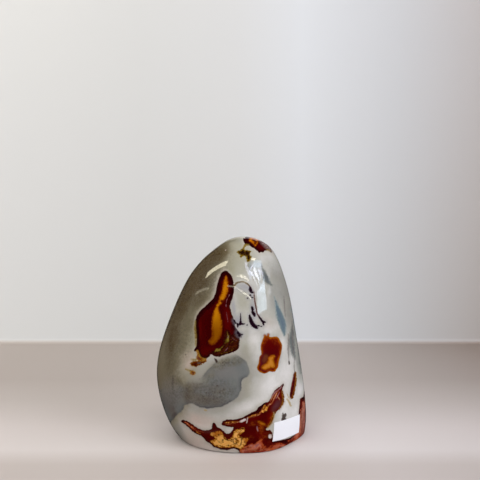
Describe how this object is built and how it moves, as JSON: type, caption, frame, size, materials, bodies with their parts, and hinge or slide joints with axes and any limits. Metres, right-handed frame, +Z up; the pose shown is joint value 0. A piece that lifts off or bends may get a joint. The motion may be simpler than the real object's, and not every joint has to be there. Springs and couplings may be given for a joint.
{
  "type": "polished stone freeform",
  "caption": "Free-standing polished jasper freeform: a smooth leaning pebble of banded stone, sawn flat underneath, with a small blank paper label low on one side.",
  "frame": {"origin": "the middle of the bounding box at the flat underside that the stone stands on", "axes": "+Z up along the stone's height, +X to the right seen from the front, and the front, which the label is on, looks along -Y"},
  "size_m": [0.083, 0.0566, 0.1101],
  "materials": {
    "polished_jasper": "ground and polished to a high gloss all over; cream-grey with smoky and slate areas, mahogany-red patches with amber cores, an ochre band and fine ink-dark dendrites",
    "white_paper": "matt white self-adhesive paper, left blank"
  },
  "bodies": {
    "root": {"jasper_stone": "polished_jasper", "paper_label": "white_paper"}
  },
  "joints": []
}
